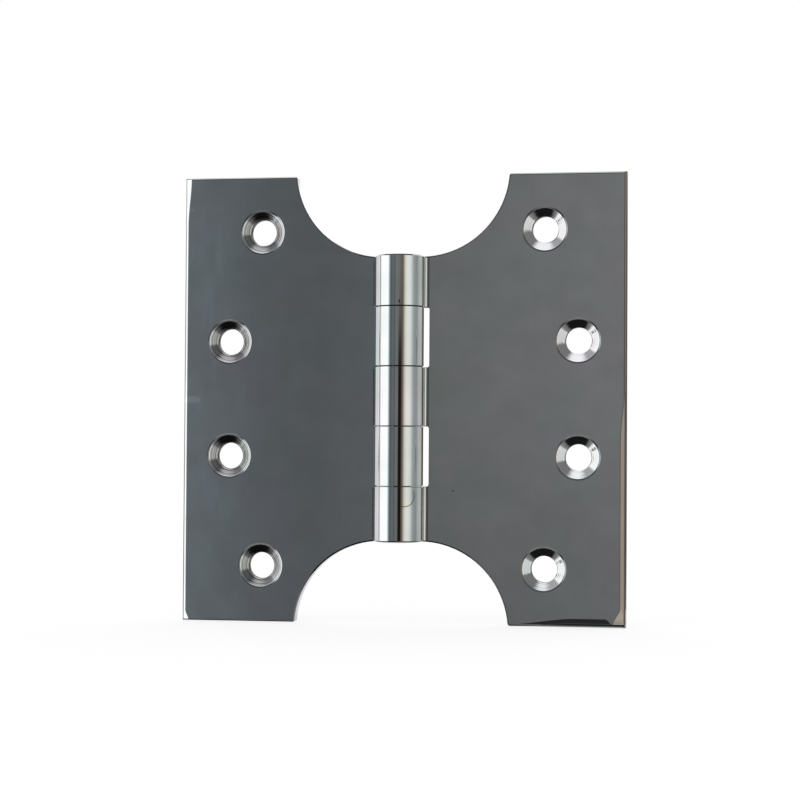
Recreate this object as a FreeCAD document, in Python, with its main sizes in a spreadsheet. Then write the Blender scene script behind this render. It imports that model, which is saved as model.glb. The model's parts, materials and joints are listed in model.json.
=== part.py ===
"""Parliament hinge, open flat: two wide leaves with round cut-outs, five knuckles and one pin.

Millimetres. The pin lies on Z with mid-height at the origin. The three-knuckle leaf reaches
along +X and the two-knuckle leaf along -X. The countersunk faces look towards -Y, and the
backs of both leaves lie in one plane that is tangent to the barrel.
"""
import FreeCAD, Part
import math
import os
import Sketcher

V = FreeCAD.Vector

# Driving sizes: name, value, what it is
SIZES = [
    ("leaf_height", 102.0, "height of each leaf"),
    ("open_width", 102.0, "width over both leaves, open flat"),
    ("leaf_thick", 3.0, "thickness of each leaf"),
    ("edge_round", 0.5, "rounding of the buffed straight edges of the leaves"),
    ("cut_bevel", 0.3, "bevel round the cut-outs and the barrel ends"),
    ("barrel_dia", 11.0, "outside diameter of the knuckles"),
    ("end_crown", 0.35, "height of the buffed crown on the barrel ends"),
    ("top_knuckle", 11.6, "length of the top knuckle"),
    ("bottom_knuckle", 12.5, "length of the bottom knuckle"),
    ("knuckle_gap", 0.15, "gap between neighbouring knuckles"),
    ("knuckle_bevel", 0.1, "bevel of the knuckle ends and notch edges"),
    ("root_round", 0.8, "hollow rounding between knuckle and leaf face"),
    ("notch_clearance", 0.9, "gap between a knuckle and the other leaf's notch"),
    ("notch_round", 0.6, "rounding in the notch corners"),
    ("cut_radius", 20.0, "radius of the cut-outs"),
    ("cut_depth", 18.7, "depth of the cut-outs below the leaf ends"),
    ("cut_centre", 4.6, "distance of a cut-out's centre from the pin axis"),
    ("outer_hole_from_axis", 32.6, "outer screw holes, distance from the pin axis"),
    ("outer_hole_from_end", 12.8, "outer screw holes, distance from the leaf end"),
    ("inner_hole_from_edge", 10.8, "inner screw holes, distance from the long edge"),
    ("inner_hole_pitch", 26.2, "distance between the two inner screw holes"),
    ("screw_hole_dia", 6.0, "screw clearance hole"),
    ("screw_head_dia", 9.9, "countersink diameter at the leaf face"),
    ("screw_head_angle", 110.0, "countersink angle in degrees"),
    ("screw_rim_bevel", 0.2, "bevel of the countersink rims"),
    ("pin_dia", 5.0, "diameter of the pin"),
    ("pin_clearance", 0.05, "radial running clearance of the pin in the two-knuckle leaf"),
    ("pin_recess", 0.1, "depth of the pin ends below the tops of the crowns"),
    ("pin_chamfer", 0.4, "chamfer of the pin ends"),
]
SHEET = "sizes"
START, END, CENTRE = 1, 2, 3
ORIGIN = (-1, 1)
V_AXIS = -2
NEAR = 1e-4
OUTER_KNUCKLE = 1


class Size:
    """A number together with the expression on the sheet that gives it."""

    def __init__(self, value, text):
        self.value = value
        self.text = text

    def __add__(self, other):
        return Size(self.value + other.value, f"({self.text} + {other.text})")

    def __sub__(self, other):
        return Size(self.value - other.value, f"({self.text} - {other.text})")

    def __mul__(self, factor):
        return Size(self.value * factor, f"({self.text} * {factor})")

    def __truediv__(self, factor):
        return Size(self.value / factor, f"({self.text} / {factor})")

    def __neg__(self):
        return Size(-self.value, f"(-{self.text})")


def make_sheet(doc):
    """The sheet of driving sizes, one row each, and the sizes by name."""
    sheet = doc.addObject("Spreadsheet::Sheet", SHEET)
    for row, (name, value, meaning) in enumerate(SIZES, start=1):
        sheet.set(f"A{row}", meaning)
        sheet.set(f"B{row}", str(value))
        sheet.setAlias(f"B{row}", name)
    doc.recompute()
    return {name: Size(value, f"{SHEET}.{name}") for name, value, meaning in SIZES}


def new_sketch(body, name, role):
    """An empty sketch on one of the body's own origin planes."""
    plane = next(p for p in body.Origin.OriginFeatures if p.Role == role)
    sketch = body.newObject("Sketcher::SketchObject", name)
    sketch.AttachmentSupport = [(plane, "")]
    sketch.MapMode = "FlatFace"
    return sketch


def line(sketch, start, end):
    return sketch.addGeometry(Part.LineSegment(V(*start, 0), V(*end, 0)))


def arc(sketch, centre, radius, start, end):
    """Arc running anticlockwise between two angles in degrees."""
    whole = Part.Circle(V(*centre, 0), V(0, 0, 1), radius)
    return sketch.addGeometry(Part.ArcOfCircle(whole, math.radians(start), math.radians(end)))


def circle(sketch, x, y, diameter):
    """Circle at a place and with a diameter that are tied to the sheet."""
    ring = sketch.addGeometry(Part.Circle(V(x.value, y.value, 0), V(0, 0, 1), diameter.value / 2))
    place(sketch, ring, CENTRE, x, y)
    bind(sketch, "Diameter", ring, to=diameter)


def join(sketch, kind, *where):
    sketch.addConstraint(Sketcher.Constraint(kind, *where))


def bind(sketch, kind, *where, to):
    """A driving dimension, tied to the sheet."""
    index = sketch.addConstraint(Sketcher.Constraint(kind, *where, to.value))
    sketch.setExpression(f"Constraints[{index}]", to.text)


def place(sketch, shape, point, x=None, y=None):
    """Ties a point of a curve to its distances from the sketch's origin."""
    if x is not None:
        bind(sketch, "DistanceX", *ORIGIN, shape, point, to=x)
    if y is not None:
        bind(sketch, "DistanceY", *ORIGIN, shape, point, to=y)


def extrude(body, kind, name, sketch, length=None):
    """Pad or pocket on both sides of the sketch, through everything where no length is given."""
    feature = body.newObject(f"PartDesign::{kind}", name)
    feature.Profile = sketch
    feature.SideType = "Symmetric"
    if length is None:
        feature.Type = "ThroughAll"
    else:
        feature.setExpression("Length", length.text)
    return feature


def turn(body, name, sketch):
    """Turned feature about the sketch's vertical axis."""
    feature = body.newObject("PartDesign::Revolution", name)
    feature.Profile = sketch
    feature.ReferenceAxis = (sketch, ["V_Axis"])
    return feature


def dress(body, kind, name, base, edges, size):
    """Fillet or chamfer of one size on the named edges of the feature before it."""
    feature = body.newObject(f"PartDesign::{kind}", name)
    feature.Base = (base, edges)
    feature.setExpression("Radius" if kind == "Fillet" else "Size", size.text)
    body.Document.recompute()
    return feature


def edge_names(shape, wanted):
    """Names of the edges of a shape that pass a test."""
    return [f"Edge{index}" for index, edge in enumerate(shape.Edges, start=1) if wanted(edge)]


def draw_section(sketch, sizes):
    """Extruded section: the barrel round, the hollow root and the leaf, with the back tangent."""
    barrel_r = sizes["barrel_dia"] / 2
    half_width = sizes["open_width"] / 2
    face = (barrel_r - sizes["leaf_thick"]).value
    root = sizes["root_round"].value
    root_y = face - root
    root_x = math.sqrt((barrel_r.value + root) ** 2 - root_y ** 2)
    lean = math.degrees(math.atan2(root_y, root_x))
    back_corner = (half_width.value, barrel_r.value)
    face_corner = (half_width.value, face)
    barrel = arc(sketch, (0, 0), barrel_r.value, 90, 360 + lean)
    hollow = arc(sketch, (root_x, root_y), root, 90, 180 + lean)
    front = line(sketch, (root_x, face), face_corner)
    edge = line(sketch, face_corner, back_corner)
    back = line(sketch, back_corner, (0, barrel_r.value))
    join(sketch, "Coincident", barrel, CENTRE, *ORIGIN)
    join(sketch, "Tangent", barrel, END, hollow, END)
    join(sketch, "Tangent", hollow, START, front, START)
    join(sketch, "Coincident", front, END, edge, START)
    join(sketch, "Coincident", edge, END, back, START)
    join(sketch, "Tangent", back, END, barrel, START)
    join(sketch, "Horizontal", front)
    join(sketch, "Horizontal", back)
    join(sketch, "Vertical", edge)
    bind(sketch, "Radius", barrel, to=barrel_r)
    bind(sketch, "Radius", hollow, to=sizes["root_round"])
    bind(sketch, "DistanceY", edge, START, edge, END, to=sizes["leaf_thick"])
    place(sketch, edge, START, x=half_width)


def draw_cut_out(sketch, sizes, up):
    """Round cut-out beside the barrel at one end, up being 1 at the top and -1 at the bottom."""
    end = sizes["leaf_height"] / 2 * up
    floor = end - sizes["cut_depth"] * up
    past = end + sizes["barrel_dia"] * up
    far = -sizes["barrel_dia"]
    centre = sizes["cut_centre"]
    radius = sizes["cut_radius"].value
    rise = sizes["cut_depth"].value - radius
    corner_x = centre.value + math.sqrt(radius ** 2 - rise ** 2)
    corner_angle = math.degrees(math.asin(rise / radius))
    start, stop = (-90, corner_angle) if up > 0 else (-corner_angle, 90)
    low, high = (START, END) if up > 0 else (END, START)
    middle = (centre.value, floor.value + radius * up)
    bed = line(sketch, (far.value, floor.value), (centre.value, floor.value))
    sweep = arc(sketch, middle, radius, start, stop)
    side = line(sketch, (corner_x, end.value), (corner_x, past.value))
    top = line(sketch, (corner_x, past.value), (far.value, past.value))
    close = line(sketch, (far.value, past.value), (far.value, floor.value))
    join(sketch, "Tangent", bed, END, sweep, low)
    join(sketch, "Coincident", sweep, high, side, START)
    join(sketch, "Coincident", side, END, top, START)
    join(sketch, "Coincident", top, END, close, START)
    join(sketch, "Coincident", close, END, bed, START)
    join(sketch, "Horizontal", bed)
    join(sketch, "Horizontal", top)
    join(sketch, "Vertical", side)
    join(sketch, "Vertical", close)
    bind(sketch, "Radius", sweep, to=sizes["cut_radius"])
    place(sketch, bed, START, far, floor)
    place(sketch, bed, END, x=centre)
    place(sketch, side, START, y=end)
    place(sketch, side, END, y=past)


def draw_notch(sketch, sizes, low, high):
    """Notch for one knuckle of the other leaf, with rounded inner corners."""
    far = -sizes["barrel_dia"]
    wall = sizes["barrel_dia"] / 2 + sizes["notch_clearance"]
    radius = sizes["notch_round"].value
    inner = wall.value - radius
    under = low.value + radius
    over = high.value - radius
    floor = line(sketch, (far.value, low.value), (inner, low.value))
    low_corner = arc(sketch, (inner, under), radius, -90, 0)
    end = line(sketch, (wall.value, under), (wall.value, over))
    high_corner = arc(sketch, (inner, over), radius, 0, 90)
    roof = line(sketch, (inner, high.value), (far.value, high.value))
    mouth = line(sketch, (far.value, high.value), (far.value, low.value))
    join(sketch, "Tangent", floor, END, low_corner, START)
    join(sketch, "Tangent", low_corner, END, end, START)
    join(sketch, "Tangent", end, END, high_corner, START)
    join(sketch, "Tangent", high_corner, END, roof, START)
    join(sketch, "Coincident", roof, END, mouth, START)
    join(sketch, "Coincident", mouth, END, floor, START)
    join(sketch, "Horizontal", floor)
    join(sketch, "Horizontal", roof)
    join(sketch, "Vertical", end)
    join(sketch, "Vertical", mouth)
    join(sketch, "Equal", low_corner, high_corner)
    bind(sketch, "Radius", low_corner, to=sizes["notch_round"])
    place(sketch, floor, START, far, low)
    place(sketch, end, START, x=wall)
    place(sketch, roof, END, y=high)


def barrel_end(sizes):
    """Height of the barrel's rims above and below the middle."""
    return sizes["leaf_height"] / 2 - sizes["cut_depth"]


def draw_crown(sketch, sizes, up):
    """Half outline of the low dome on one barrel end, up being 1 at the top and -1 at the bottom."""
    zero = sizes["end_crown"] * 0
    base = barrel_end(sizes) * up
    peak = (barrel_end(sizes) + sizes["end_crown"]) * up
    rim = sizes["barrel_dia"] / 2 - sizes["cut_bevel"] * 2
    height = sizes["end_crown"].value
    radius = (rim.value ** 2 + height ** 2) / (2 * height)
    reach = math.degrees(math.asin(rim.value / radius))
    start, stop = (90 - reach, 90) if up > 0 else (-90, reach - 90)
    outer, inner = (START, END) if up > 0 else (END, START)
    bed = line(sketch, (0, base.value), (rim.value, base.value))
    dome = arc(sketch, (0, peak.value - radius * up), radius, start, stop)
    axis = line(sketch, (0, peak.value), (0, base.value))
    join(sketch, "Coincident", bed, END, dome, outer)
    join(sketch, "Coincident", dome, inner, axis, START)
    join(sketch, "Coincident", axis, END, bed, START)
    join(sketch, "Horizontal", bed)
    join(sketch, "Vertical", axis)
    join(sketch, "PointOnObject", dome, CENTRE, V_AXIS)
    place(sketch, bed, START, zero, base)
    place(sketch, bed, END, x=rim)
    place(sketch, axis, START, y=peak)


def knuckle_spans(sizes):
    """Lower and upper seam of each knuckle from the top down, the outer two left open."""
    top_seam = barrel_end(sizes) - sizes["top_knuckle"]
    bottom_seam = sizes["bottom_knuckle"] - barrel_end(sizes)
    middle = (top_seam - bottom_seam) / 3
    open_end = barrel_end(sizes) + sizes["barrel_dia"]
    seams = [open_end, top_seam, top_seam - middle, bottom_seam + middle, bottom_seam, -open_end]
    return list(zip(seams[1:], seams[:-1]))


def straight_edges(shape, sizes):
    """Edges along a leaf's long side and its two ends, front and back."""
    side = sizes["open_width"].value / 2
    end = sizes["leaf_height"].value / 2

    def wanted(edge):
        box = edge.BoundBox
        along_side = box.ZLength > NEAR and box.YLength < NEAR and box.XMin > side - NEAR
        along_end = box.XLength > NEAR and box.YLength < NEAR and abs(box.Center.z) > end - NEAR
        return along_side or along_end

    return edge_names(shape, wanted)


def cut_edges(shape, sizes):
    """Edges round the two cut-outs and the barrel ends, front and back."""
    end = sizes["leaf_height"].value / 2 - sizes["edge_round"].value
    bed = end + sizes["edge_round"].value - sizes["cut_depth"].value
    reach = sizes["cut_centre"].value + sizes["cut_radius"].value

    def wanted(edge):
        box = edge.BoundBox
        middle = abs(edge.valueAt((edge.FirstParameter + edge.LastParameter) / 2).z)
        in_cut_out = box.XMax < reach + NEAR and bed - NEAR < middle < end
        return in_cut_out and box.XLength > NEAR

    return edge_names(shape, wanted)


def knuckle_rims(shape, sizes, heights):
    """Round edges of the barrel that lie at the given heights."""
    barrel_r = sizes["barrel_dia"].value / 2

    def wanted(edge):
        box = edge.BoundBox
        level = box.ZLength < NEAR and any(abs(box.ZMin - height) < NEAR for height in heights)
        return level and isinstance(edge.Curve, Part.Circle) and abs(edge.Curve.Radius - barrel_r) < NEAR

    return edge_names(shape, wanted)


def screw_rims(shape, sizes):
    """Countersink circles that lie in the leaf face."""
    face = sizes["barrel_dia"].value / 2 - sizes["leaf_thick"].value
    rim_r = sizes["screw_head_dia"].value / 2

    def wanted(edge):
        in_face = edge.BoundBox.YLength < NEAR and abs(edge.BoundBox.YMin - face) < NEAR
        return in_face and isinstance(edge.Curve, Part.Circle) and abs(edge.Curve.Radius - rim_r) < NEAR

    return edge_names(shape, wanted)


def make_leaf(doc, name, sizes, own, bore, turned):
    """A leaf along +X with its own knuckles, numbered from the top, turned about Y if it lies at -X."""
    body = doc.addObject("PartDesign::Body", name)
    body.Label = name

    section = new_sketch(body, f"{name}_section", "XY_Plane")
    draw_section(section, sizes)
    extrude(body, "Pad", f"{name}_bar", section, sizes["leaf_height"])

    cut_outs = new_sketch(body, f"{name}_cut_outs", "XZ_Plane")
    draw_cut_out(cut_outs, sizes, 1)
    draw_cut_out(cut_outs, sizes, -1)
    cut = extrude(body, "Pocket", f"{name}_cut", cut_outs)
    doc.recompute()
    edges = straight_edges(cut.Shape, sizes)
    buffed = dress(body, "Fillet", f"{name}_buffed_edges", cut, edges, sizes["edge_round"])
    edges = cut_edges(buffed.Shape, sizes)
    dress(body, "Chamfer", f"{name}_cut_bevel", buffed, edges, sizes["cut_bevel"])

    if OUTER_KNUCKLE in own:
        crowns = new_sketch(body, f"{name}_crowns", "XZ_Plane")
        draw_crown(crowns, sizes, 1)
        draw_crown(crowns, sizes, -1)
        turn(body, f"{name}_barrel_ends", crowns)

    notches = new_sketch(body, f"{name}_notches", "XZ_Plane")
    half_gap = sizes["knuckle_gap"] / 2
    heights = []
    for number, (low, high) in enumerate(knuckle_spans(sizes), start=1):
        if number in own:
            continue
        low = low - half_gap
        high = high + half_gap
        if turned:
            low, high = -high, -low
        draw_notch(notches, sizes, low, high)
        heights += [low.value, high.value]
    notch = extrude(body, "Pocket", f"{name}_notch", notches)
    doc.recompute()
    edges = knuckle_rims(notch.Shape, sizes, heights)
    dress(body, "Chamfer", f"{name}_knuckle_bevel", notch, edges, sizes["knuckle_bevel"])

    zero = bore * 0
    pin_hole = new_sketch(body, f"{name}_pin_hole", "XY_Plane")
    circle(pin_hole, zero, zero, bore)
    extrude(body, "Pocket", f"{name}_bore", pin_hole)

    places = new_sketch(body, f"{name}_screw_places", "XZ_Plane")
    face = sizes["barrel_dia"] / 2 - sizes["leaf_thick"]
    places.setExpression("AttachmentOffset.Base.z", (-face).text)
    outer = (sizes["outer_hole_from_axis"], sizes["leaf_height"] / 2 - sizes["outer_hole_from_end"])
    inner = (sizes["open_width"] / 2 - sizes["inner_hole_from_edge"], sizes["inner_hole_pitch"] / 2)
    for x, height in (outer, inner):
        circle(places, x, height, sizes["screw_hole_dia"])
        circle(places, x, -height, sizes["screw_hole_dia"])
    doc.recompute()
    holes = body.newObject("PartDesign::Hole", f"{name}_screw_holes")
    holes.Profile = places
    holes.DepthType = "ThroughAll"
    holes.HoleCutType = "Countersink"
    holes.HoleCutCustomValues = True
    holes.setExpression("Diameter", sizes["screw_hole_dia"].text)
    holes.setExpression("HoleCutDiameter", sizes["screw_head_dia"].text)
    holes.setExpression("HoleCutCountersinkAngle", sizes["screw_head_angle"].text)
    doc.recompute()
    edges = screw_rims(holes.Shape, sizes)
    body.Tip = dress(body, "Chamfer", f"{name}_screw_rims", holes, edges, sizes["screw_rim_bevel"])
    if turned:
        body.Placement = FreeCAD.Placement(V(0, 0, 0), FreeCAD.Rotation(V(0, 1, 0), 180))
    doc.recompute()
    return body


def make_pin(doc, name, sizes):
    """Straight pin with chamfered ends, a little below the barrel ends."""
    body = doc.addObject("PartDesign::Body", name)
    body.Label = name
    radius = sizes["pin_dia"] / 2
    half = barrel_end(sizes) + sizes["end_crown"] - sizes["pin_recess"]
    neck = radius - sizes["pin_chamfer"]
    shoulder = half - sizes["pin_chamfer"]
    zero = sizes["pin_dia"] * 0
    outline = [
        (zero, -half),
        (neck, -half),
        (radius, -shoulder),
        (radius, shoulder),
        (neck, half),
        (zero, half),
    ]
    sketch = new_sketch(body, f"{name}_profile", "XZ_Plane")
    corners = [(x.value, y.value) for x, y in outline]
    sides = [line(sketch, a, b) for a, b in zip(corners, corners[1:] + corners[:1])]
    for side, following in zip(sides, sides[1:] + sides[:1]):
        join(sketch, "Coincident", side, END, following, START)
    for side, (x, y) in zip(sides, outline):
        place(sketch, side, START, x, y)
    body.Tip = turn(body, f"{name}_turned", sketch)
    doc.recompute()
    return body


def check(doc, parts):
    """Stops on any failed feature or unsound solid before anything is written."""
    for item in doc.Objects:
        if "Invalid" in item.State or "Error" in item.State:
            raise RuntimeError(f"{item.Name} failed: {item.State}")
    for part in parts:
        if part.Shape.isNull() or not part.Shape.isValid() or len(part.Shape.Solids) != 1:
            raise RuntimeError(f"{part.Label} is not one sound solid")


def main():
    doc = FreeCAD.newDocument("parliament_hinge")
    sizes = make_sheet(doc)
    loose_bore = sizes["pin_dia"] + sizes["pin_clearance"] * 2
    parts = [
        make_leaf(doc, "three_knuckle_leaf", sizes, (1, 3, 5), sizes["pin_dia"], turned=False),
        make_leaf(doc, "two_knuckle_leaf", sizes, (2, 4), loose_bore, turned=True),
        make_pin(doc, "hinge_pin", sizes),
    ]
    doc.recompute()
    check(doc, parts)
    os.makedirs("parts", exist_ok=True)
    for part in parts:
        part.Shape.exportStep(f"parts/{part.Label}.step")
        print(part.Label, round(part.Shape.Volume, 2))


main()
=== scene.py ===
"""Looks of the parliament hinge: polished chrome, the studio round it, the floor and the camera."""
import json
import math

import bpy
from mathutils import Matrix, Vector

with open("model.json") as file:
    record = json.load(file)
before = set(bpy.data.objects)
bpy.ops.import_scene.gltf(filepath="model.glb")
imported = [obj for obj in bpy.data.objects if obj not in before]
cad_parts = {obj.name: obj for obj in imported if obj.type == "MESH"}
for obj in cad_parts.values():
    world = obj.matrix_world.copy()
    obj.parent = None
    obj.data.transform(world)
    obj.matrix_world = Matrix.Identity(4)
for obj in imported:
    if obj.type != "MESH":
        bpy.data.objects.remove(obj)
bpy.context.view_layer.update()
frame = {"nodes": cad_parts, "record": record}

MM = 0.001
DEGREES = 180 / math.pi
WHITE = (1.0, 1.0, 1.0)

# Camera, fitted to the corners and screw holes of the leaves in an 800 by 800 picture
VIEW_YAW = 10.59
VIEW_PITCH = -1.5
VIEW_ROLL = 0.35
VIEW_DISTANCE = 520.0
VIEW_FOCAL_PIXELS = 2303.2
VIEW_TARGET = (0.21, 0.0, -0.34)
VIEW_NEAREST = 0.01
VIEW_FARTHEST = 50.0
PICTURE_PIXELS = 800
SENSOR_WIDTH = 36.0

# Floor: half its side in metres, its level in millimetres, and the share of it that glows
FLOOR_HALF = 1.5
FLOOR_LEVEL = -51.05
FLOOR_GLOW = 0.75

# In the studio a bearing is in degrees from the front, positive to the right, and a height in
# degrees from the level. Four numbers in a row are a range: start, full, fading and end.
# Walls at the height of the hinge, by bearing
STUDIO_WALLS = [
    (-180, (1.45, 1.45, 1.45)),
    (-140, (1.45, 1.44, 1.41)),
    (-118, (0.30, 0.30, 0.30)),
    (-97, (0.20, 0.20, 0.20)),
    (-85, (1.56, 1.54, 1.51)),
    (-47, (1.56, 1.58, 1.59)),
    (-43, (1.08, 1.20, 1.22)),
    (-38, (0.36, 0.43, 0.44)),
    (-32, (0.122, 0.143, 0.148)),
    (-28, (0.158, 0.168, 0.167)),
    (-20, (0.196, 0.203, 0.203)),
    (-15.8, (0.178, 0.200, 0.215)),
    (-14.6, (0.145, 0.160, 0.171)),
    (-13.3, (0.128, 0.140, 0.148)),
    (-12.2, (0.126, 0.137, 0.144)),
    (-10.9, (0.146, 0.161, 0.166)),
    (-10.3, (0.190, 0.202, 0.198)),
    (-5.0, (0.242, 0.244, 0.246)),
    (7, (0.213, 0.218, 0.210)),
    (19, (0.176, 0.165, 0.154)),
    (24, (0.150, 0.132, 0.118)),
    (29, (0.34, 0.265, 0.195)),
    (34, (0.73, 0.66, 0.57)),
    (39, (1.00, 0.96, 0.87)),
    (51, (1.13, 1.15, 1.06)),
    (65, (0.98, 1.02, 0.99)),
    (74, (0.66, 0.69, 0.68)),
    (81, (0.46, 0.48, 0.48)),
    (94, (0.38, 0.39, 0.39)),
    (125, (0.72, 0.72, 0.70)),
    (148, (1.45, 1.45, 1.45)),
    (180, (1.45, 1.45, 1.45)),
]
# Heights at which the walls start and end, by bearing, and how soft those edges are
WALL_FEET = [
    (-180, 9), (-150, 9), (-125, -6), (-90, -34), (-46, -38), (-37, -10),
    (17, -10), (25, -33), (76, -33), (105, -8), (150, 9), (180, 9),
]
WALL_HEADS = [
    (-180, 60), (-145, 60), (-95, 33), (-48, 33), (-38, 14),
    (30, 14), (78, 12), (110, 28), (145, 60), (180, 60),
]
WALL_EDGE = 8.0
# Loft over the walls, by bearing, and the skylight in it
LOFT = [
    (-180, (0.10, 0.10, 0.11)),
    (-112, (0.12, 0.12, 0.13)),
    (-94, (0.58, 0.59, 0.60)),
    (-52, (0.58, 0.59, 0.60)),
    (-34, (0.09, 0.09, 0.10)),
    (28, (0.09, 0.09, 0.10)),
    (44, (0.28, 0.28, 0.28)),
    (98, (0.28, 0.28, 0.28)),
    (120, (0.12, 0.12, 0.12)),
    (180, (0.10, 0.10, 0.11)),
]
SKYLIGHT = (1.45, 1.45, 1.45)
SKYLIGHT_HEIGHTS = (52.0, 68.0, 80.0, 85.0)
SKYLIGHT_BEARINGS = (-95.0, -78.0, 52.0, 66.0)
# Ground under the walls by height, in front of the hinge and behind it
FRONT_GROUND = [
    (-90, (0.012, 0.012, 0.012)),
    (-51, (0.014, 0.014, 0.014)),
    (-45, (0.27, 0.27, 0.27)),
    (-30, (0.34, 0.34, 0.34)),
    (-22, (0.030, 0.030, 0.032)),
    (-4, (0.028, 0.028, 0.030)),
]
REAR_GROUND = [
    (-90, (0.10, 0.10, 0.10)),
    (-50, (0.30, 0.30, 0.30)),
    (-24, (0.86, 0.86, 0.85)),
    (-8, (0.86, 0.86, 0.86)),
    (-2.5, (0.11, 0.11, 0.11)),
    (8, (0.10, 0.10, 0.10)),
]
REAR_BEARINGS = (100.0, 130.0)
# Dark post that makes the black streak on the knuckles, and dark stand that the right
# countersinks show
POST = (0.014, 0.011, 0.010)
POST_BEARINGS = (4.0, 7.4, 18.2, 23.0)
POST_HEIGHTS = (2.3, 4.3)
STAND = (0.07, 0.07, 0.08)
STAND_BEARINGS = (-76.5, -74.5, -72.0, -70.0)
STAND_HEIGHTS = (-29.0, -27.0, -21.0, -18.5)
# Share of the light that the walls lose low down, where the right leaf's lower end mirrors them
LOW_SHADE = 0.17
LOW_SHADE_HEIGHTS = (-4.5, 3.0)
LOW_SHADE_BEARINGS = (-11.0, -10.0, 0.0, 8.0)
ROOM_LIGHT = 1.07

# Chrome, painted shade for its joints and holes, and what lies on it
COOL_CHROME = (0.567, 0.594, 0.594)
WARM_CHROME = (0.592, 0.584, 0.603)
# Painted shade for the joints between knuckles, the notches and the screw holes
PAINTED_JOINT_SHADE = (0.11, 0.10, 0.085)
# Colour of the right leaf's long edge, partly wear and partly painted shade
WORN_EDGE_AND_SHADE = (0.125, 0.095, 0.075)
HAZE = (0.655, 0.71, 0.735)
THICK_HAZE = (0.86, 0.93, 0.94)
OLIVE = (0.10, 0.095, 0.04)
STRAW = (0.60, 0.585, 0.47)
# Dark for dirt specks, and for painted shade at the root and on the cut-out rims
DIRT_AND_SHADE = (0.045, 0.045, 0.045)
BRIGHT = (0.95, 0.95, 0.95)
CHROME_ROUGHNESS = 0.045
PATCH_ROUGHNESS = 0.02
DULL_ROUGHNESS = 0.4
# Tone of the chrome: its least, and what patches, mottling and polishing streaks add
LEAST_TONE = 0.83
PATCH_TONE = 0.04
MOTTLE_TONE = 0.26
STREAK_TONE = 0.04
TINT_RANGE = (0.36, 0.62)
WAVE_HEIGHT = 0.004

# Bright steel of the pin: colour, and the least and the spread of its tone and roughness
PIN_STEEL = (0.52, 0.52, 0.53)
PIN_TONE = (0.85, 0.30)
PIN_ROUGHNESS = (0.20, 0.15)

# Random patterns: size of a patch in millimetres along x, y and z, and fineness
PATCHES = ((16, 16, 16), 3.0)
MOTTLE = ((7, 7, 6), 5.0)
MOTTLE_SHIFT = 37.1
STREAKS = ((0.5, 0.5, 30), 3.0)
WAVES = ((5, 5, 9), 1.0)
WISPS = ((1.8, 1.8, 9), 5.0)
MIST = ((8, 8, 12), 4.0)
DRAWN_LINES = ((0.15, 0.15, 12), 3.0)

# From here on in millimetres of the hinge; two numbers in a row are where a mark starts and is full
BARREL_RADIUS = 5.5
BARREL_HALF = 32.0
BARREL_END_FADE = (0.0, 0.1)
ON_BARREL = (0.02, 0.06)
ON_FACE = (6.0, 6.1)
SEAM_DEPTH = 0.05
SEAM_FADE = (0.0, 0.03)
NOTCH_ACROSS = (5.55, 5.60, 6.90, 6.95)
NOTCH_DEPTH = (2.51, 2.55, 5.30, 5.42)
LONG_EDGE = 51.0
LEAF_END = 51.0
FRONT_SIDE = (2.6, 2.9)
# Painted shade along the crease where the right leaf meets its barrel
ROOT_LINE = (5.98, 6.08, 6.32, 6.44)
# Painted shade on the front bevel of the round cut-outs: their middle and the rim's range
CUT_CENTRE = (4.6, 52.3)
CUT_RIM = (19.97, 20.02, 20.28, 20.36)
# Right long edge, partly worn and partly painted shade: where it starts across and in depth
WORN_SHADED_ACROSS = (50.44, 50.56)
WORN_SHADED_DEPTH = (3.2, 3.6)

# Countersinks: outline, part with painted shade, floor, and the wall of the screw hole
SINK_RADIUS = 4.95
SINK_FADE = (-0.02, 0.05)
SINK_RIM = 4.6
SINK_RIM_FADE = (-0.05, 0.05)
SINK_FLOOR = (4.0, 4.3)
BORE_MARGIN = 0.03
BORE_FADE = (-0.02, 0.02)
# Turning rings: number to the millimetre, and how far the deep ones stay clear of the countersinks'
# painted shade
RING_DENSITY = 2.4
RING_RANGE = (0.3, 0.7)
RING_SHINE = 0.6
# Height of the rings, roughness that they add, and the painted shade that darkens the countersinks,
# by leaf
RIGHT_SINKS = {"rings": 0.022, "roughness": 0.02, "grey": 0.12}
LEFT_SINKS = {"rings": 0.06, "roughness": 0.07, "grey": 0.82}

# Buffed falls beside the edges: their slope and the rounding where they start
RIGHT_FALL = {"slope": 0.32, "ease": 0.12}
BOTTOM_FALL = {"slope": 0.14, "ease": 0.10}
BOTTOM_LIP = {"slope": 0.52, "ease": 0.05}
LEFT_FALL = {"slope": 0.30, "ease": 0.25}
# Widths of the falls, and the stretches over which they grow: down the right edge and to its
# corner, along the bottom edge, up the left edge and to its foot
RIGHT_WIDTH = 1.25
RIGHT_START = (-6.0, 10.0)
CORNER_WIDTH = 1.6
CORNER_START = (46.6, 50.4)
BOTTOM_WIDTH = 0.4
BOTTOM_MORE = 1.5
BOTTOM_STRETCH = (24.0, 40.0, 46.5, 48.5)
LIP_WIDTH = 0.8
LIP_START = (24.0, 40.0)
LEFT_WIDTH = 0.8
LEFT_MORE = 0.7
LEFT_TOP = (40.0, 51.0)
LEFT_FOOT = (48.6, 50.8)

# Ring-shaped stain on the lowest knuckle: middle round the barrel and in height, radius, half width
# of its line, the pale part inside it, and the arcs of both in degrees
STAIN_ACROSS = 2.40
STAIN_HEIGHT = -21.9
STAIN_RADIUS = 2.4
STAIN_LINE = (0.05, 0.22)
STAIN_ARC = (-118.0, -98.0, 18.0, 40.0)
STAIN_PALE = (0.8, 1.4, 2.0, 2.5)
STAIN_PALE_ARC = (-178.0, -150.0, -75.0, -40.0)
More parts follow.
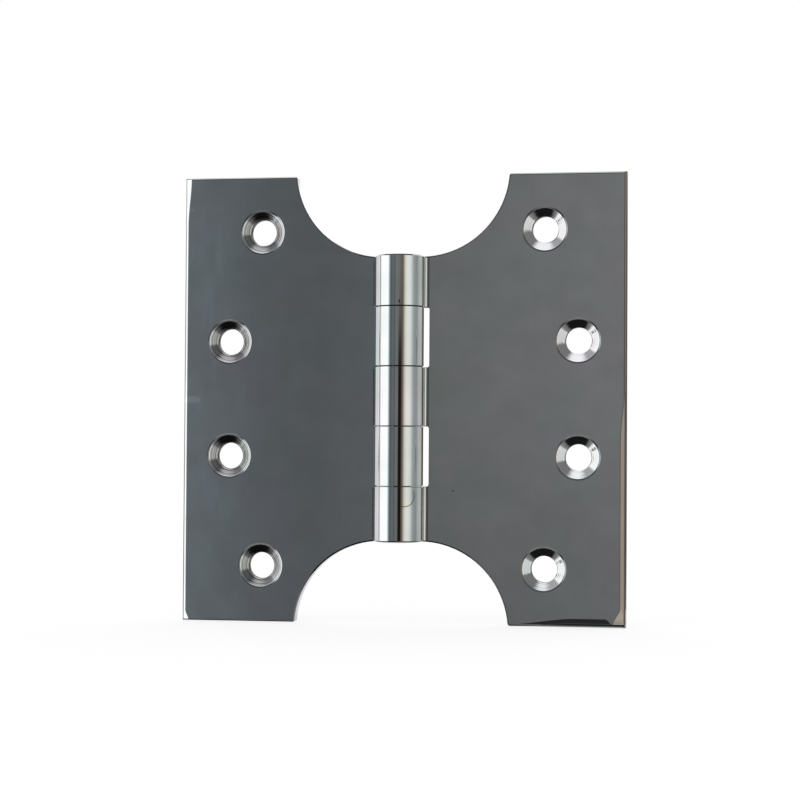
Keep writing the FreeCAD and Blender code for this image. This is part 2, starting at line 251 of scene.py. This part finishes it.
# Specks and smudges: place round the barrel or along the leaf, height, radius; and how tall some
# of them are for their width
TICK = (0.93, 21.7, 0.24)
TICK_TALL = 2.6
LEAF_DOT = (12.04, -20.8, 0.26)
BRIGHT_SPECK = (-49.4, 43.6, 0.26)
THICK_SMUDGE = (-48.9, -0.2, 2.3)
THICK_SMUDGE_TALL = 0.5
SMUDGES = [(-48.0, -0.3, 2.6), (-48.4, -36.0, 2.4), (-46.0, 18.0, 2.8), (-43.0, 31.0, 3.0)]
SMUDGE_TALL = 1.8
SPECK_CORE = 0.4
# Haze towards the left leaf's long edge, and what is left of it between the wisps
MIST_ACROSS = (24.0, 46.0)
MIST_RANGE = (0.42, 0.68)
WISP_RANGE = (0.40, 0.72)
MIST_LEAST = 0.4
SMUDGE_LEAST = 0.25
THICK_SMUDGE_LEAST = 0.6
# How much each mark, painted shade among them, covers the chrome
COVER = {
    "pale": 0.6, "stain": 0.75, "tick": 0.9, "dot": 0.8, "root": 0.6, "cut": 0.6,
    "worn": 0.85, "haze": 0.85,
}


class Link:
    """A node socket; arithmetic on it adds Math nodes to its tree."""

    def __init__(self, shop, socket):
        self.shop = shop
        self.socket = socket

    def _math(self, operation, *values):
        settings = {"operation": operation}
        return self.shop.add("ShaderNodeMath", settings, dict(enumerate(values)))

    def __add__(self, other):
        return self._math("ADD", self, other)

    def __radd__(self, other):
        return self._math("ADD", other, self)

    def __sub__(self, other):
        return self._math("SUBTRACT", self, other)

    def __rsub__(self, other):
        return self._math("SUBTRACT", other, self)

    def __mul__(self, other):
        return self._math("MULTIPLY", self, other)

    def __rmul__(self, other):
        return self._math("MULTIPLY", other, self)

    def __truediv__(self, other):
        return self._math("DIVIDE", self, other)

    def __rtruediv__(self, other):
        return self._math("DIVIDE", other, self)

    def __pow__(self, other):
        return self._math("POWER", self, other)

    def __neg__(self):
        return self._math("MULTIPLY", self, -1.0)

    def __abs__(self):
        return self._math("ABSOLUTE", self)

    def low(self, other):
        return self._math("MINIMUM", self, other)

    def high(self, other):
        return self._math("MAXIMUM", self, other)

    def ease_high(self, other, ease):
        """Larger of the two, with the corner between them rounded over the distance ease."""
        return self._math("SMOOTH_MAX", self, other, ease)

    def bearing(self, other):
        """Angle in degrees of a point from its sideways part, self, and its forward part, other."""
        return self._math("ARCTAN2", self, other) * DEGREES

    def climb(self):
        """Angle in degrees over the level of a direction whose upward part is self."""
        return self._math("ARCSINE", self) * DEGREES

    def rise(self, start, full):
        """Smooth step from 0 at start to 1 at full."""
        settings = {"interpolation_type": "SMOOTHSTEP"}
        return self.shop.add("ShaderNodeMapRange", settings, {0: self, 1: start, 2: full})

    def between(self, start, full, fading, end):
        """1 from full to fading, 0 before start and after end."""
        return self.rise(start, full) * (1 - self.rise(fading, end))


class Shop:
    """One node tree and the single way in which nodes are put into it."""

    def __init__(self, owner):
        owner.use_nodes = True
        self.tree = owner.node_tree
        self.tree.nodes.clear()

    def add(self, kind, settings=None, values=None, out=0):
        """A node: its settings first, then its sockets' values or links; gives one output."""
        node = self.tree.nodes.new(kind)
        for name, value in (settings or {}).items():
            if name == "stops":
                self._stops(node.color_ramp, value)
            else:
                setattr(node, name, value)
        for key, value in (values or {}).items():
            socket = node.inputs[key]
            if isinstance(value, Link):
                self.tree.links.new(value.socket, socket)
            else:
                socket.default_value = value
        return Link(self, node.outputs[out]) if len(node.outputs) else None

    def outputs(self, link, *names):
        """Other outputs of the node that a link comes from."""
        return [Link(self, link.socket.node.outputs[name]) for name in names]

    def _stops(self, ramp, stops):
        while len(ramp.elements) < len(stops):
            ramp.elements.new(1.0)
        for element, (position, tone) in zip(ramp.elements, stops):
            element.position = position
        for element, (position, tone) in zip(ramp.elements, stops):
            element.color = colour(tone)

    def blend(self, share, first, second):
        """Colour between first, at share 0, and second, at share 1."""
        settings = {"data_type": "RGBA"}
        return self.add("ShaderNodeMix", settings, {0: share, 6: first, 7: second}, out=2)

    def scale(self, tone, share):
        """A colour times a number."""
        settings = {"operation": "SCALE"}
        return self.add("ShaderNodeVectorMath", settings, {0: tone, "Scale": share})

    def split(self, vector):
        """The three numbers of a vector."""
        first = self.add("ShaderNodeSeparateXYZ", None, {0: vector})
        return first, *self.outputs(first, "Y", "Z")

    def place(self):
        """Where a point of the piece lies, in millimetres."""
        return [part / MM for part in self.split(self.add("ShaderNodeTexCoord", out="Object"))]

    def cloud(self, place, pattern):
        """Soft random pattern: noise on each of the place's three numbers over its patch size."""
        sizes, detail = pattern
        steps = dict(enumerate(along / size for along, size in zip(place, sizes)))
        vector = self.add("ShaderNodeCombineXYZ", None, steps)
        values = {"Vector": vector, "Scale": 1.0, "Detail": detail}
        return self.add("ShaderNodeTexNoise", None, values)

    def rings(self, away):
        """Random rings round a middle: noise on the distance from it alone."""
        settings = {"noise_dimensions": "1D"}
        values = {"W": away * RING_DENSITY, "Scale": 1.0, "Detail": 1.0}
        return self.add("ShaderNodeTexNoise", settings, values)

    def finish(self, **values):
        """Metal finish on the surface, its sockets named with low lines for blanks."""
        sockets = {name.replace("_", " "): value for name, value in values.items()}
        metal = self.add("ShaderNodeBsdfPrincipled", None, {"Metallic": 1.0, **sockets})
        self.add("ShaderNodeOutputMaterial", None, {"Surface": metal})


def colour(rgb):
    return (*rgb, 1.0)


def span(a, b):
    """Length of the two sides' diagonal."""
    return (a * a + b * b) ** 0.5


def make_studio():
    """White to the camera and the floor; walls, loft, skylight and ground by direction in metal."""
    world = bpy.data.worlds.new("studio")
    bpy.context.scene.world = world
    shop = Shop(world)
    x, y, z = shop.split(shop.add("ShaderNodeTexCoord", out="Generated"))
    bearing = x.bearing(-y)
    height = z.climb()
    turn = bearing / 360 + 0.5

    def by_bearing(table):
        stops = [(angle / 360 + 0.5, tone) for angle, tone in table]
        return shop.add("ShaderNodeValToRGB", {"stops": stops}, {0: turn})

    def by_height(table):
        stops = [(angle / 180 + 0.5, tone) for angle, tone in table]
        return shop.add("ShaderNodeValToRGB", {"stops": stops}, {0: height / 180 + 0.5})

    def height_by_bearing(table):
        """Heights kept in a grey ramp as shares of the half turn from straight down to up."""
        shares = [(angle, (level / 180 + 0.5,) * 3) for angle, level in table]
        return by_bearing(shares) * 180 - 90

    low = bearing.between(*LOW_SHADE_BEARINGS) * (1 - height.rise(*LOW_SHADE_HEIGHTS))
    walls = shop.scale(by_bearing(STUDIO_WALLS), 1 - low * LOW_SHADE)
    post = bearing.between(*POST_BEARINGS) * (1 - height.rise(*POST_HEIGHTS))
    walls = shop.blend(post, walls, colour(POST))
    stand = bearing.between(*STAND_BEARINGS) * height.between(*STAND_HEIGHTS)
    walls = shop.blend(stand, walls, colour(STAND))
    over = (height - height_by_bearing(WALL_HEADS)).rise(-WALL_EDGE / 2, WALL_EDGE / 2)
    under = (height_by_bearing(WALL_FEET) - height).rise(-WALL_EDGE / 2, WALL_EDGE / 2)
    opening = height.between(*SKYLIGHT_HEIGHTS) * bearing.between(*SKYLIGHT_BEARINGS)
    loft = shop.blend(opening, by_bearing(LOFT), colour(SKYLIGHT))
    behind = abs(bearing).rise(*REAR_BEARINGS)
    ground = shop.blend(behind, by_height(FRONT_GROUND), by_height(REAR_GROUND))
    room = shop.blend(under, shop.blend(over, walls, loft), ground)

    camera, matt = shop.outputs(shop.add("ShaderNodeLightPath"), "Is Camera Ray", "Is Diffuse Ray")
    shade = shop.blend(camera.high(matt), shop.scale(room, ROOM_LIGHT), colour(WHITE))
    light = shop.add("ShaderNodeBackground", None, {"Color": shade, "Strength": 1.0})
    shop.add("ShaderNodeOutputWorld", None, {"Surface": light})


def screw_distance(x, z, side):
    """Distance from the middle of the nearest screw hole of one leaf: side is 1 right, -1 left."""
    nearest = None
    for mount in frame["record"]["mounts"]:
        across = mount["pos_m"][0] / MM
        if mount["kind"] != "bolt_pattern" or across * side < 0:
            continue
        away = span(x - across, abs(z) - mount["dims"]["spacing_y_mm"] / 2)
        nearest = away if nearest is None else nearest.low(away)
    return nearest


def make_chrome(name, side, sink_finish_and_shade, rolled_edges, marks):
    """Polished chrome on one leaf, with turned countersinks, painted shade in countersinks, joints
    and holes, buffed edges, marks.
    """
    material = bpy.data.materials.new(name)
    shop = Shop(material)
    x, y, z = place = shop.place()
    away = screw_distance(x, z, side)
    hole_radius = frame["record"]["mounts"][-1]["dims"]["hole_r_mm"]

    seam = (BARREL_RADIUS - SEAM_DEPTH - span(x, y)).rise(*SEAM_FADE)
    notch = abs(x).between(*NOTCH_ACROSS) * y.between(*NOTCH_DEPTH)
    joint = seam.high(notch) * (BARREL_HALF - abs(z)).rise(*BARREL_END_FADE)
    bore = (hole_radius + BORE_MARGIN - away).rise(*BORE_FADE)
    # The joints, notches and screw holes take painted shade
    joint_shade = joint.high(bore)
    sink = (SINK_RADIUS - away).rise(*SINK_FADE) * (1 - y.rise(*SINK_FLOOR))
    turned = shop.rings(away)

    patches = shop.cloud(place, PATCHES)
    mottle = shop.cloud((x + MOTTLE_SHIFT, y, z), MOTTLE)
    streaks = shop.cloud(place, STREAKS)
    tint = shop.blend(patches.rise(*TINT_RANGE), colour(COOL_CHROME), colour(WARM_CHROME))
    tone = LEAST_TONE + patches * PATCH_TONE + mottle * MOTTLE_TONE + streaks * STREAK_TONE
    # Painted shade in the countersinks, lighter on the turning rings and ending at the rim
    sink_shade = 1 - turned.rise(*RING_RANGE) * RING_SHINE
    sink_shade = sink_shade * (SINK_RIM - away).rise(*SINK_RIM_FADE)
    plate = shop.scale(tint, tone * (1 - sink * sink_shade * sink_finish_and_shade["grey"]))
    # Painted shade laid into the joints, notches and screw holes
    base = shop.blend(joint_shade, plate, colour(PAINTED_JOINT_SHADE))
    for share, shade in marks(shop, x, y, z):
        base = shop.blend(share, base, colour(shade))
    roughness = CHROME_ROUGHNESS + patches * PATCH_ROUGHNESS
    roughness = roughness + sink * sink_finish_and_shade["roughness"] + joint_shade * DULL_ROUGHNESS

    height = shop.cloud(place, WAVES) * WAVE_HEIGHT + (turned * sink) * sink_finish_and_shade["rings"]
    for edge in rolled_edges(x, z):
        height = height - edge
    bump = shop.add("ShaderNodeBump", None, {"Strength": 1.0, "Distance": MM, "Height": height})
    shop.finish(Base_Color=base, Roughness=roughness, Normal=bump)
    return material


def fall(width, distance, slope, ease):
    """Depth of a buffed fall: slope times the width that is left at that distance from the edge."""
    return (width - distance).ease_high(0.0, ease) * slope


def right_edges(x, z):
    """Falls of the three-knuckle leaf: its long edge from half way down with the corner, and its
    bottom edge with a steeper lip."""
    wide = (-z).rise(*RIGHT_START) * RIGHT_WIDTH + (-z).rise(*CORNER_START) * CORNER_WIDTH
    yield fall(wide, LONG_EDGE - x, **RIGHT_FALL)
    deep = BOTTOM_WIDTH + x.between(*BOTTOM_STRETCH) * BOTTOM_MORE
    yield fall(deep, LEAF_END + z, **BOTTOM_FALL)
    yield fall(x.rise(*LIP_START) * LIP_WIDTH, LEAF_END + z, **BOTTOM_LIP)


def left_edges(x, z):
    """Fall along the two-knuckle leaf's long edge, wider at the top corner and at the foot."""
    wide = LEFT_WIDTH + z.rise(*LEFT_TOP) * LEFT_MORE + (-z).rise(*LEFT_FOOT) * LEFT_MORE
    yield fall(wide, LONG_EDGE + x, **LEFT_FALL)


def speck(across, up, spot, tall=1.0):
    """Round or tall mark, 1 in its middle and 0 outside its radius."""
    middle, level, radius = spot
    return 1 - span(across - middle, (up - level) / tall).rise(radius * SPECK_CORE, radius)


def cut_rim(x, y, z):
    """Painted shade on the front bevel of the round cut-outs."""
    reach = span(abs(x) - CUT_CENTRE[0], abs(z) - CUT_CENTRE[1])
    return reach.between(*CUT_RIM) * (1 - y.rise(*FRONT_SIDE)) * COVER["cut"]


def right_marks(shop, x, y, z):
    """Marks of the three-knuckle leaf: ring stain, specks, painted shade at the root and rims, and
    a worn edge partly painted shade.
    """
    around = x.bearing(-y) * (BARREL_RADIUS / DEGREES)
    on_barrel = 1 - (span(x, y) - BARREL_RADIUS).rise(*ON_BARREL)
    front = 1 - y.rise(*FRONT_SIDE)
    across = around - STAIN_ACROSS
    up = z - STAIN_HEIGHT
    reach = span(across, up)
    direction = up.bearing(across)
    line = (1 - abs(reach - STAIN_RADIUS).rise(*STAIN_LINE)) * direction.between(*STAIN_ARC)
    pale = reach.between(*STAIN_PALE) * direction.between(*STAIN_PALE_ARC)
    yield on_barrel * pale * COVER["pale"], STRAW
    yield on_barrel * line * COVER["stain"], OLIVE
    yield on_barrel * speck(around, z, TICK, TICK_TALL) * COVER["tick"], DIRT_AND_SHADE
    yield x.rise(*ON_FACE) * front * speck(x, z, LEAF_DOT) * COVER["dot"], DIRT_AND_SHADE
    # Painted shade along the root crease
    yield x.between(*ROOT_LINE) * front * COVER["root"], DIRT_AND_SHADE
    # Painted shade on the cut-out rims
    yield cut_rim(x, y, z), DIRT_AND_SHADE
    # Right long edge: wear and painted shade
    yield x.rise(*WORN_SHADED_ACROSS) * (1 - y.rise(*WORN_SHADED_DEPTH)) * COVER["worn"], WORN_EDGE_AND_SHADE


def left_marks(shop, x, y, z):
    """Marks of the two-knuckle leaf: pale haze towards the long edge, smudges, a bright speck."""
    front = 1 - y.rise(*FRONT_SIDE)
    wisps = shop.cloud((x, y, z), WISPS).rise(*WISP_RANGE)

    def torn(least):
        """1 in the wisps and least between them."""
        return least + wisps * (1 - least)

    mist = shop.cloud((x, y, z), MIST).rise(*MIST_RANGE)
    haze = mist * (-x).rise(*MIST_ACROSS) * torn(MIST_LEAST)
    for spot in SMUDGES:
        haze = haze.high(speck(x, z, spot, SMUDGE_TALL) * torn(SMUDGE_LEAST))
    thick = speck(x, z, THICK_SMUDGE, THICK_SMUDGE_TALL) * torn(THICK_SMUDGE_LEAST)
    yield haze * front * COVER["haze"], HAZE
    yield thick * front, THICK_HAZE
    # Painted shade on the cut-out rims
    yield cut_rim(x, y, z), DIRT_AND_SHADE
    yield speck(x, z, BRIGHT_SPECK) * front, BRIGHT


def make_pin_steel():
    """Drawn bright steel with lines along the pin."""
    material = bpy.data.materials.new("pin_steel")
    shop = Shop(material)
    lines = shop.cloud(shop.place(), DRAWN_LINES)
    tone, roughness = (least + lines * spread for least, spread in (PIN_TONE, PIN_ROUGHNESS))
    shop.finish(Base_Color=shop.scale(PIN_STEEL, tone), Roughness=roughness)
    return material


def dress(node, material):
    node.data.materials.clear()
    node.data.materials.append(material)


def make_floor():
    """Plain white floor under the hinge, with only the hinge's own shade on it."""
    half = FLOOR_HALF
    outline = [(-half, -half), (half, -half), (half, half), (-half, half)]
    mesh = bpy.data.meshes.new("floor")
    mesh.from_pydata([(x, y, FLOOR_LEVEL * MM) for x, y in outline], [], [(0, 1, 2, 3)])
    floor = bpy.data.objects.new("floor", mesh)
    bpy.context.scene.collection.objects.link(floor)
    material = bpy.data.materials.new("pale_floor")
    shop = Shop(material)
    matt = shop.add("ShaderNodeBsdfDiffuse", None, {"Color": colour(WHITE)})
    glow = shop.add("ShaderNodeEmission", None, {"Color": colour(WHITE), "Strength": 1.0})
    both = shop.add("ShaderNodeMixShader", None, {0: FLOOR_GLOW, 1: matt, 2: glow})
    shop.add("ShaderNodeOutputMaterial", None, {"Surface": both})
    mesh.materials.append(material)
    floor.visible_glossy = False


def make_camera():
    """Camera to the right of the hinge's front and a little low, looking at its middle."""
    yaw, pitch, roll = (math.radians(angle) for angle in (VIEW_YAW, VIEW_PITCH, VIEW_ROLL))
    forward = Vector((
        -math.sin(yaw) * math.cos(pitch),
        math.cos(yaw) * math.cos(pitch),
        -math.sin(pitch),
    ))
    level = Vector((math.cos(yaw), math.sin(yaw), 0.0))
    upright = level.cross(forward)
    right = math.cos(roll) * level + math.sin(roll) * upright
    up = math.cos(roll) * upright - math.sin(roll) * level
    lens = bpy.data.cameras.new("camera")
    lens.sensor_width = SENSOR_WIDTH
    lens.lens = VIEW_FOCAL_PIXELS * SENSOR_WIDTH / PICTURE_PIXELS
    lens.clip_start = VIEW_NEAREST
    lens.clip_end = VIEW_FARTHEST
    camera = bpy.data.objects.new("camera", lens)
    bpy.context.scene.collection.objects.link(camera)
    camera.matrix_world = Matrix((right, up, -forward)).transposed().to_4x4()
    camera.location = (Vector(VIEW_TARGET) - VIEW_DISTANCE * forward) * MM
    bpy.context.scene.camera = camera


bpy.context.scene.view_settings.view_transform = "Standard"

right_chrome = make_chrome("right_chrome", 1, RIGHT_SINKS, right_edges, right_marks)
left_chrome = make_chrome("left_chrome", -1, LEFT_SINKS, left_edges, left_marks)
dress(frame["nodes"]["three_knuckle_leaf"], right_chrome)
dress(frame["nodes"]["two_knuckle_leaf"], left_chrome)
dress(frame["nodes"]["hinge_pin"], make_pin_steel())

make_studio()
make_floor()
make_camera()
